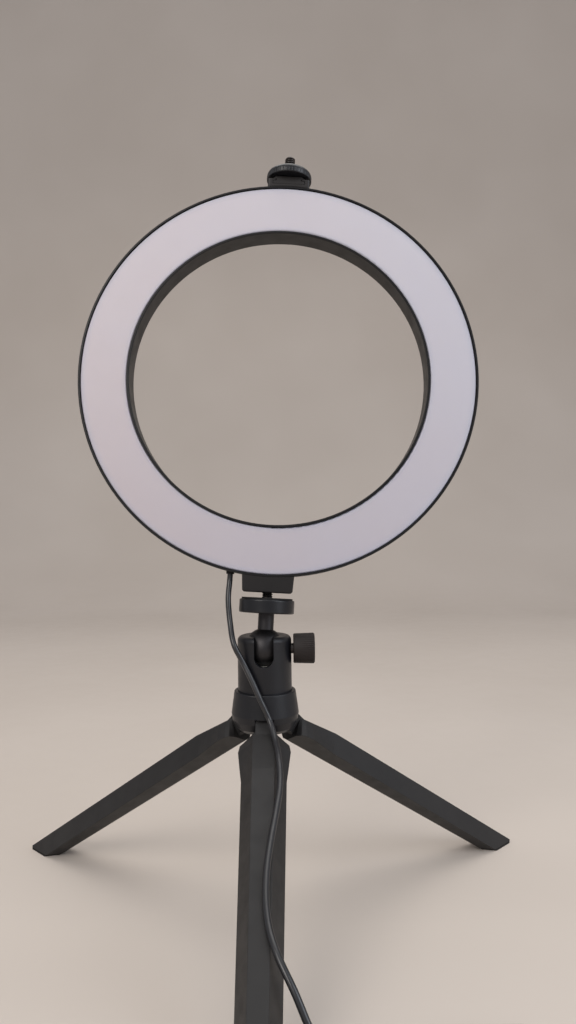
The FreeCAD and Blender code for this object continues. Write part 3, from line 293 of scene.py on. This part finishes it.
housing = moulded(
    "housing_black", (0.0060, 0.0056, 0.0060), 0.40, 0.35, 0.010, edge_wear_and_highlight=3.0,
    Specular_IOR_Level=0.30,
)
FINISHES = {
    "housing_black": housing,
    "block_black": moulded("block_black", BLACK_WARM, 0.52, 0.4, 0.02, Specular_IOR_Level=0.3),
    # A lighter copy of the black plastic for the shoe and its foot, a painted highlight standing in for light on
    # their faces.
    "shoe_black_painted_lighter": moulded(
        "shoe_black_painted_lighter", (0.0160, 0.0142, 0.0142), 0.50, 0.4, 0.02, edge_wear_and_highlight=2.2,
        Specular_IOR_Level=0.34,
    ),
    "head_black": moulded("head_black", BLACK_COOL, 0.40, 0.45, 0.012, edge_wear_and_highlight=4.0, Specular_IOR_Level=0.36),
    "disc_black": moulded("disc_black", BLACK_COOL, 0.34, 0.3, 0.008, edge_wear_and_highlight=4.0, Specular_IOR_Level=0.38),
    "knob_brown": moulded(
        "knob_brown", (0.0150, 0.0110, 0.0100), 0.46, 0.4, 0.02, edge_wear_and_highlight=2.6,
        Specular_IOR_Level=0.32,
    ),
    "leg_grey": moulded(
        "leg_grey", LEG_GREY, 0.50, 0.5, 0.024, vary=0.14, edge_wear_and_highlight=2.6, edge_mm=0.5,
        Specular_IOR_Level=0.36,
    ),
    "diffuser_white": frosted(),
    "sheet_white": moulded("sheet_white", (0.82, 0.82, 0.82), 0.45, 0.3, 0.006, vary=0.04, edge_wear_and_highlight=1.05),
    "board": board_mask("board_white", (0.74, 0.75, 0.72), (0.62, 0.66, 0.62)),
    "led_warm": phosphor("led_warm", (0.85, 0.55, 0.10), (0.75, 0.45, 0.08)),
    "led_cool": phosphor("led_cool", (0.88, 0.80, 0.30), (0.80, 0.74, 0.28)),
    "screw_steel": metal("screw_steel", (0.34, 0.34, 0.35), 0.32),
    "thread_steel": metal("thread_steel", (0.075, 0.068, 0.066), 0.34, 0.2, (1, 1, 3), 0.010),
    "ball_metal": metal("ball_metal", (0.050, 0.048, 0.050), 0.42, 0.25, (6, 6, 1), 0.004),
    "brass": metal("brass", (0.68, 0.50, 0.22), 0.28),
    "nylon": moulded(
        "nylon", (0.62, 0.60, 0.55), 0.5, 0.3, 0.010, vary=0.06, edge_wear_and_highlight=1.1,
        Subsurface_Weight=0.1,
    ),
    "plug_metal": metal("plug_metal", (0.48, 0.49, 0.50), 0.30, 0.2, (8, 8, 1)),
    "rubber_black": moulded(
        "rubber_black", (0.0100, 0.0096, 0.0096), 0.72, 0.6, 0.040, vary=0.25, edge_wear_and_highlight=2.2,
        Specular_IOR_Level=0.25,
    ),
    "cable_black": jacket("cable_black", (0.0062, 0.0064, 0.0082)),
    "wires": jacket("wire_red", (0.36, 0.025, 0.02)),
    "controller_black": moulded("controller_black", (0.0185, 0.0185, 0.0200), 0.50, 0.35, 0.022, edge_wear_and_highlight=2.0),
    "button_grey": moulded("button_grey", (0.150, 0.150, 0.158), 0.55, 0.3, 0.010, vary=0.08, edge_wear_and_highlight=1.3),
    "switch": moulded("switch_black", (0.06, 0.06, 0.06), 0.4, 0.3, 0.01),
    "usb_metal": metal("usb_metal", (0.62, 0.62, 0.63), 0.22, 0.15, (14, 1, 1), 0.004),
    "tongue_white": moulded("tongue_white", (0.72, 0.72, 0.70), 0.4, 0.3, 0.006, vary=0.04, edge_wear_and_highlight=1.1),
    "gold": metal("gold", (0.80, 0.58, 0.20), 0.22),
}
SPECIAL = {
    "mount_block": "block_black",
    "cold_shoe": "shoe_black_painted_lighter",
    "adapter_foot": "shoe_black_painted_lighter",
    "head_housing": "head_black",
    "hub": "head_black",
    "platform_disc": "disc_black",
    "lock_nut": "disc_black",
    "clamp_knob": "knob_brown",
}
SLOT_OF = {entry["node"]: entry["material_slot"] for entry in frame["record"]["subparts"]}

for name, node in NODES.items():
    node.data.materials.clear()
    node.data.materials.append(FINISHES[SPECIAL.get(name, SLOT_OF[name])])


# ---------------------------------------------------------------- mesh helpers


def mesh_piece(name, verts, faces, finish, place=None, smooth_degrees=35):
    mesh = bpy.data.meshes.new(name)
    mesh.from_pydata([tuple(v) for v in verts], [], faces)
    made = bmesh.new()
    made.from_mesh(mesh)
    if place is not None:
        made.transform(place)
    bmesh.ops.recalc_face_normals(made, faces=made.faces)
    made.to_mesh(mesh)
    made.free()
    piece = bpy.data.objects.new(name, mesh)
    bpy.context.scene.collection.objects.link(piece)
    mesh.materials.append(FINISHES[finish])
    soften(piece, smooth_degrees)
    return piece


def soften(piece, degrees):
    """Smooth shading, with edges sharper than the angle kept crisp."""
    mesh = piece.data
    mesh.shade_smooth()
    mesh.set_sharp_from_angle(angle=math.radians(degrees))


def turned_rows(profile, radius_at, steps):
    """Rings of points for a turned shape. radius_at gives the radius at an angle and height."""
    verts = []
    for radius, height in profile:
        for step in range(steps):
            angle = 2 * math.pi * step / steps
            r = radius_at(radius, angle, height)
            verts.append((r * math.cos(angle) * MM, r * math.sin(angle) * MM, height * MM))
    return verts


def closed_rings(rows, steps):
    """Faces that join rings of points, with both ends capped."""
    faces = []
    for row in range(rows - 1):
        for step in range(steps):
            following = (step + 1) % steps
            low, high = row * steps, (row + 1) * steps
            faces.append((low + step, low + following, high + following, high + step))
    faces.append(tuple(reversed(range(steps))))
    faces.append(tuple(range((rows - 1) * steps, rows * steps)))
    return faces


def screw_profile(sections, thread_low, thread_high, fine):
    """A turned outline (radius, height) with many levels over the threaded stretch."""
    profile = [point for point in sections if point[1] <= thread_low]
    radius = max(r for r, h in sections if thread_low <= h <= thread_high)
    count = int((thread_high - thread_low) / fine)
    for number in range(1, count + 1):
        profile.append((radius, thread_low + (thread_high - thread_low) * number / count))
    return profile + [point for point in sections if point[1] > thread_high]


THREAD_PITCH, THREAD_DEPTH = 1.27, 0.62
GROOVE_HALF, GROOVE_FLAT, THREAD_RUN_IN = 0.44, 0.86, 0.6
THREAD_STEPS, LEVELS_PER_TURN = 64, 14


def threaded(name, profile, thread_low, thread_high, top_bevel, finish, place):
    """A turned piece with a helical thread cut into one stretch of it."""
    def radius_at(radius, angle, height):
        if not thread_low <= height <= thread_high:
            return radius
        turn = (height / THREAD_PITCH - angle / (2 * math.pi)) % 1.0
        groove = max(0.0, 1.0 - abs(turn - 0.5) / GROOVE_HALF)
        fade = min(1.0, (height - thread_low) / THREAD_RUN_IN)
        cut = THREAD_DEPTH * min(groove, GROOVE_FLAT) / GROOVE_FLAT * fade
        return min(radius - cut, radius - max(0.0, height - (thread_high - top_bevel)))

    fine = screw_profile(profile, thread_low, thread_high, THREAD_PITCH / LEVELS_PER_TURN)
    rows = turned_rows(fine, radius_at, THREAD_STEPS)
    return mesh_piece(name, rows, closed_rings(len(fine), THREAD_STEPS), finish, place, 60)


def tube(name, path, radius, finish, steps=20):
    """A round tube along a list of points, with its section carried along without twist."""
    points = [Vector(p) for p in path]
    tangents = []
    for number, point in enumerate(points):
        before, after = points[max(0, number - 1)], points[min(len(points) - 1, number + 1)]
        tangents.append((after - before).normalized())
    normal = tangents[0].orthogonal().normalized()
    verts = []
    for number, (point, tangent) in enumerate(zip(points, tangents)):
        normal = (normal - tangent * normal.dot(tangent)).normalized()
        across = tangent.cross(normal)
        for step in range(steps):
            angle = 2 * math.pi * step / steps
            verts.append(point + (normal * math.cos(angle) + across * math.sin(angle)) * radius)
    return mesh_piece(name, verts, closed_rings(len(points), steps), finish, smooth_degrees=70)


def smooth_path(knots, spacing):
    """A centripetal Catmull-Rom curve through the knots, with points about spacing apart."""
    points = [Vector(k) for k in knots]
    ends = [points[0] * 2 - points[1]] + points + [points[-1] * 2 - points[-2]]
    path = []
    for a, b, c, d in zip(ends, ends[1:], ends[2:], ends[3:]):
        t0 = 0.0
        t1 = t0 + (b - a).length ** 0.5
        t2 = t1 + (c - b).length ** 0.5
        t3 = t2 + (d - c).length ** 0.5
        count = max(2, int((c - b).length / spacing))
        for number in range(count):
            t = t1 + (t2 - t1) * number / count
            ab = a * ((t1 - t) / (t1 - t0)) + b * ((t - t0) / (t1 - t0))
            bc = b * ((t2 - t) / (t2 - t1)) + c * ((t - t1) / (t2 - t1))
            cd = c * ((t3 - t) / (t3 - t2)) + d * ((t - t2) / (t3 - t2))
            abc = ab * ((t2 - t) / (t2 - t0)) + bc * ((t - t0) / (t2 - t0))
            bcd = bc * ((t3 - t) / (t3 - t1)) + cd * ((t - t1) / (t3 - t1))
            path.append(abc * ((t2 - t) / (t2 - t1)) + bcd * ((t - t1) / (t2 - t1)))
    path.append(points[-1])
    return path


# ---------------------------------------------------------------- threads

# radii, and heights above the ring's centre (stud) and the ball's centre (screw), all in millimetres
SHANK, THREAD = 2.9, 3.175
STUD_LOW, NUT_TOP, STUD_TOP = 121.95, 133.4, 143.1
stud = threaded(
    "accessory_stud_threaded",
    [(0.01, STUD_LOW), (4.7, STUD_LOW), (4.95, STUD_LOW + 0.25), (4.95, STUD_LOW + 1.4),
     (SHANK, STUD_LOW + 1.4), (SHANK, NUT_TOP), (THREAD, NUT_TOP + 0.001),
     (THREAD, STUD_TOP - 0.001), (2.1, STUD_TOP)],
    NUT_TOP + 0.001, STUD_TOP - 0.001, 1.0, "thread_steel", RING,
)
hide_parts("accessory_stud")
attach(stud, "adapter")

SCREW_LOW, PAD_TOP, BLOCK_BOTTOM, SCREW_TOP = 14.8, 29.6, 32.6, 38.6
light_screw = threaded(
    "light_screw_threaded",
    [(2.1, SCREW_LOW), (SHANK, SCREW_LOW + 0.8), (SHANK, PAD_TOP), (THREAD, PAD_TOP + 0.001),
     (THREAD, BLOCK_BOTTOM - 0.001), (SHANK, BLOCK_BOTTOM), (SHANK, SCREW_TOP - 0.8), (2.1, SCREW_TOP)],
    PAD_TOP + 0.001, BLOCK_BOTTOM - 0.001, 0.0, "thread_steel", HEAD,
)
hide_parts("light_screw")
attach(light_screw, "platform")

# ---------------------------------------------------------------- cables

CABLE_MM = 1.65
CABLE_RADIUS = CABLE_MM * MM
LEG_START, LEG_START_HEIGHT, LEG_SLOPE, LEG_GAP = 49.0, 96.8, 0.66, 0.75
HEAD_GAP = 0.6


def on_axis(x, y, z):
    """A point given in millimetres from the foot of the tripod's axis."""
    return Vector((x * MM, AXIS_Y + y * MM, z * MM))


def on_front_leg(reach, side, lift=0.0):
    """A cable point that lies on the front leg's flat top."""
    top_line = LEG_START_HEIGHT - LEG_SLOPE * (reach - LEG_START)
    return on_axis(side, -reach, top_line + CABLE_MM + LEG_GAP + lift)


def round_the_head(x, z, barrel):
    """A cable point that rests on the front of a round part of the head or hub."""
    away = barrel + CABLE_MM + HEAD_GAP
    return on_axis(x, -math.sqrt(away * away - x * x), z)


case_low, case_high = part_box("controller_bottom")
case_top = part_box("controller_top")[1].z
CASE_Y = (case_low.y + case_high.y) / 2
CASE_MIDDLE = case_top / 2
CABLE_KNOTS = [
    RING @ Vector((-22.6 * MM, -0.7 * MM, -118.2 * MM)),
    RING @ Vector((-22.6 * MM, -0.7 * MM, -123.0 * MM)),
    on_axis(-20.9, -0.3, 184.0),
    on_axis(-19.6, -4.6, 170.0),
    on_axis(-17.0, -11.5, 158.5),
    round_the_head(-12.0, 149.0, 15.75),
    round_the_head(-7.0, 139.5, 16.2),
    round_the_head(-1.8, 128.5, 18.5),
    round_the_head(2.8, 118.5, 19.9),
    on_axis(5.9, -29.0, 110.6),
    on_front_leg(43, 8.3),
    on_front_leg(57, 8.9),
    on_front_leg(70, 7.0),
    on_front_leg(83, 4.6),
    on_front_leg(95, 2.9),
    on_front_leg(107, 2.6),
    on_front_leg(118, 4.2),
    on_front_leg(128, 7.9, 0.4),
    on_axis(14.8, -137.0, 37.5),
    on_axis(23.0, -143.8, 22.5),
    on_axis(33.5, -147.0, 10.8),
    Vector((44.5 * MM, CASE_Y, CASE_MIDDLE + 0.6 * MM)),
    Vector((case_low.x - 9.0 * MM, CASE_Y, CASE_MIDDLE)),
    Vector((case_low.x + 5.5 * MM, CASE_Y, CASE_MIDDLE)),
]
way = smooth_path(CABLE_KNOTS, 1.2 * MM)
SPANS = [
    ("lamp_cable_top", "lamp", "platform", 1, 3),
    ("lamp_cable_stem", "platform", "ball", 3, 5),
    ("lamp_cable_ball", "ball", "head", 5, 7),
    ("lamp_cable_head", "head", "tripod", 7, 9),
    ("lamp_cable_leg", None, "tripod", 9, len(CABLE_KNOTS) - 1),
]


def nearest(knot):
    """The place of a knot along the finished path."""
    return min(range(len(way)), key=lambda number: (way[number] - CABLE_KNOTS[knot]).length)


for piece_name, upper, lower, first, last in SPANS:
    begin = 0 if first == 1 else nearest(first)
    end = nearest(last)
    cable = tube(piece_name, way[begin:end + 1], CABLE_RADIUS, "cable_black")
    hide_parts("lamp_cable")
    if upper is None:
        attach(cable, lower)
    else:
        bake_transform(cable)

plug_low, plug_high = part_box("plug_body")
PLUG_Y, PLUG_MIDDLE = (plug_low.y + plug_high.y) / 2, (plug_low.z + plug_high.z) / 2
REST = CABLE_RADIUS + 0.15 * MM
usb_knots = [
    Vector((case_high.x - 5.5 * MM, CASE_Y, CASE_MIDDLE)),
    Vector((case_high.x + 8.0 * MM, CASE_Y, CASE_MIDDLE - 0.3 * MM)),
    Vector((146.0 * MM, CASE_Y + 1.4 * MM, REST + 0.6 * MM)),
    Vector((152.6 * MM, CASE_Y + 7.0 * MM, REST)),
    Vector((154.6 * MM, (CASE_Y + PLUG_Y) / 2, REST)),
    Vector((151.6 * MM, PLUG_Y - 6.0 * MM, REST)),
    Vector((142.0 * MM, PLUG_Y - 0.8 * MM, REST + 0.8 * MM)),
    Vector((131.0 * MM, PLUG_Y, PLUG_MIDDLE - 0.2 * MM)),
    Vector((plug_high.x + 9.5 * MM, PLUG_Y, PLUG_MIDDLE)),
    Vector((plug_high.x - 5.0 * MM, PLUG_Y, PLUG_MIDDLE)),
]
usb = tube("usb_cable_smooth", smooth_path(usb_knots, 1.5 * MM), CABLE_RADIUS, "cable_black")
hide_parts("usb_cable")
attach(usb, "tripod")

# ---------------------------------------------------------------- small details on the controller and plug


def raised_mark(name, body, centre, strokes, height):
    """Thin raised strokes on a face that looks up, each (x, y, length, width, degrees) in mm."""
    verts, faces = [], []
    for x, y, length, width, degrees in strokes:
        around = Matrix.Rotation(math.radians(degrees), 4, "Z")
        first = len(verts)
        for z, inset in ((-0.1, 0.0), (height, 0.0), (height + 0.04, 0.08)):
            half_x, half_y = length / 2 - inset, width / 2 - inset
            for sx, sy in ((-1, -1), (1, -1), (1, 1), (-1, 1)):
                spot = around @ Vector((sx * half_x, sy * half_y, 0)) + Vector((x, y, z))
                verts.append(centre + spot * MM)
        for level in (0, 4):
            for side in range(4):
                following = (side + 1) % 4
                low, high = first + level, first + level + 4
                faces.append((low + side, low + following, high + following, high + side))
        faces.append(tuple(first + n for n in (3, 2, 1, 0)))
        faces.append(tuple(first + n for n in (8, 9, 10, 11)))
    mark = mesh_piece(name, verts, faces, "tongue_white", smooth_degrees=20)
    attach(mark, body)


def arc_strokes(radius, start, end, count, width):
    """Short strokes that follow an arc."""
    strokes = []
    for number in range(count):
        degrees = start + (end - start) * (number + 0.5) / count
        turn = math.radians(degrees)
        length = radius * math.radians(abs(end - start)) / count + 0.05
        strokes.append((radius * math.cos(turn), radius * math.sin(turn), length, width, degrees + 90))
    return strokes


MARKS = {
    "brighter": [(0, 0, 2.6, 0.5, 0), (0, 0.8, 1.0, 0.5, 90), (0, -0.8, 1.0, 0.5, 90)],
    "dimmer": [(0, 0, 2.6, 0.5, 0)],
    "power": arc_strokes(1.3, 120, 420, 14, 0.42) + [(0, 1.25, 1.3, 0.42, 90)],
}
for mark_name, strokes in MARKS.items():
    node_name = f"button_{mark_name}"
    low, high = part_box(node_name)
    top = Vector(((low.x + high.x) / 2, (low.y + high.y) / 2, high.z))
    raised_mark(f"{node_name}_mark", node_name, top, strokes, 0.10)


def ribbed_sleeve(name, start, direction):
    """A strain relief: a tapered sleeve with rounded ribs and slots between them."""
    profile = [(1.78, 0.05), (3.0, 0.05), (3.0, 1.3), (2.88, 1.5)]
    for rib in range(5):
        low = 1.7 + rib * 1.25
        radius = 2.85 - rib * 0.11
        profile += [(radius - 0.42, low), (radius - 0.42, low + 0.35), (radius, low + 0.45)]
        profile += [(radius, low + 1.0), (radius - 0.06, low + 1.12)]
    profile += [(2.3, 7.9), (1.78, 8.0)]
    place = Matrix.Translation(start) @ direction.to_track_quat("Z", "Y").to_matrix().to_4x4()
    steps = 40
    rows = turned_rows(profile, lambda radius, angle, height: radius, steps)
    faces = closed_rings(len(profile), steps)
    sleeve = mesh_piece(name, rows, faces, "rubber_black", place, 50)
    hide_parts("strain_reliefs")
    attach(sleeve, "tripod")


for sleeve_name, start, heading in (
    ("strain_relief_lamp_side", (case_low.x, CASE_Y, CASE_MIDDLE), -1),
    ("strain_relief_plug_side", (case_high.x, CASE_Y, CASE_MIDDLE), 1),
    ("strain_relief_plug", (plug_high.x, PLUG_Y, PLUG_MIDDLE), 1),
):
    ribbed_sleeve(sleeve_name, Vector(start), Vector((heading, 0, 0)))

# ---------------------------------------------------------------- stage, light and camera


def floor_and_backdrop():
    """A pale floor that curves up into a plain wall behind the object."""
    front, bend_start, bend, height, width = -3.0, 1.4, 0.9, 3.2, 4.0
    outline = [(front, 0.0), (bend_start, 0.0)]
    for step in range(1, 25):
        angle = math.pi / 2 * step / 24
        outline.append((bend_start + bend * math.sin(angle), bend - bend * math.cos(angle)))
    outline.append((bend_start + bend, height))
    verts = [(side * width, y, z) for y, z in outline for side in (-1, 1)]
    faces = [(2 * n, 2 * n + 1, 2 * n + 3, 2 * n + 2) for n in range(len(outline) - 1)]
    mesh = bpy.data.meshes.new("floor")
    mesh.from_pydata(verts, [], faces)
    mesh.shade_smooth()
    floor = bpy.data.objects.new("floor", mesh)
    bpy.context.scene.collection.objects.link(floor)
    made = Shader("floor_pale")
    broad = made.ramp(made.noise(400.0, 2.0), 0.3, 0.7)
    tone = made.mix(broad, (0.560, 0.500, 0.445), (0.600, 0.540, 0.485))
    made.set(Specular_IOR_Level=0.3)
    roughness = made.ramp(made.noise(30.0), 0.3, 0.7, 0.45, 0.55)
    mesh.materials.append(made.finish(tone, roughness, made.bump(made.noise(1.5), 0.01)))


def area_light(name, at, towards, width, height, watts, colour):
    light = bpy.data.lights.new(name, "AREA")
    light.shape = "RECTANGLE"
    light.size, light.size_y = width, height
    light.energy = watts
    light.color = colour
    lamp = bpy.data.objects.new(name, light)
    bpy.context.scene.collection.objects.link(lamp)
    lamp.location = at
    lamp.rotation_euler = (Vector(towards) - Vector(at)).to_track_quat("-Z", "Y").to_euler()


floor_and_backdrop()
MIDDLE = (0.0, 0.03, 0.2)
area_light("key_left", (-0.9, -1.3, 1.3), MIDDLE, 1.0, 1.0, 17.0, (1.0, 0.95, 0.90))
area_light("fill_right", (1.3, -0.7, 0.9), MIDDLE, 0.9, 1.2, 12.0, (0.86, 0.92, 1.0))
area_light("top_soft", (0.1, 0.3, 1.7), MIDDLE, 1.6, 1.2, 12.0, (1.0, 0.97, 0.93))
world = bpy.data.worlds.new("studio")
bpy.context.scene.world = world
world.use_nodes = True
world.node_tree.nodes["Background"].inputs["Color"].default_value = (0.80, 0.80, 0.84, 1.0)
world.node_tree.nodes["Background"].inputs["Strength"].default_value = 0.55

EYE = Vector((14.4 * MM, AXIS_Y - 452.8 * MM, 230.5 * MM))
PITCH, YAW, ROLL = math.radians(0.49), math.radians(0.05), math.radians(-0.72)
camera_data = bpy.data.cameras.new("camera")
camera_data.lens = 27.07
camera_data.sensor_width = 36.0
camera_data.sensor_fit = "AUTO"
camera_data.clip_start = 0.01
camera = bpy.data.objects.new("camera", camera_data)
bpy.context.scene.collection.objects.link(camera)
turned = Matrix.Rotation(-YAW, 4, "Z") @ Matrix.Rotation(math.pi / 2 + PITCH, 4, "X")
camera.matrix_world = Matrix.Translation(EYE) @ turned @ Matrix.Rotation(ROLL, 4, "Z")
bpy.context.scene.camera = camera
bpy.context.scene.view_settings.view_transform = "Standard"
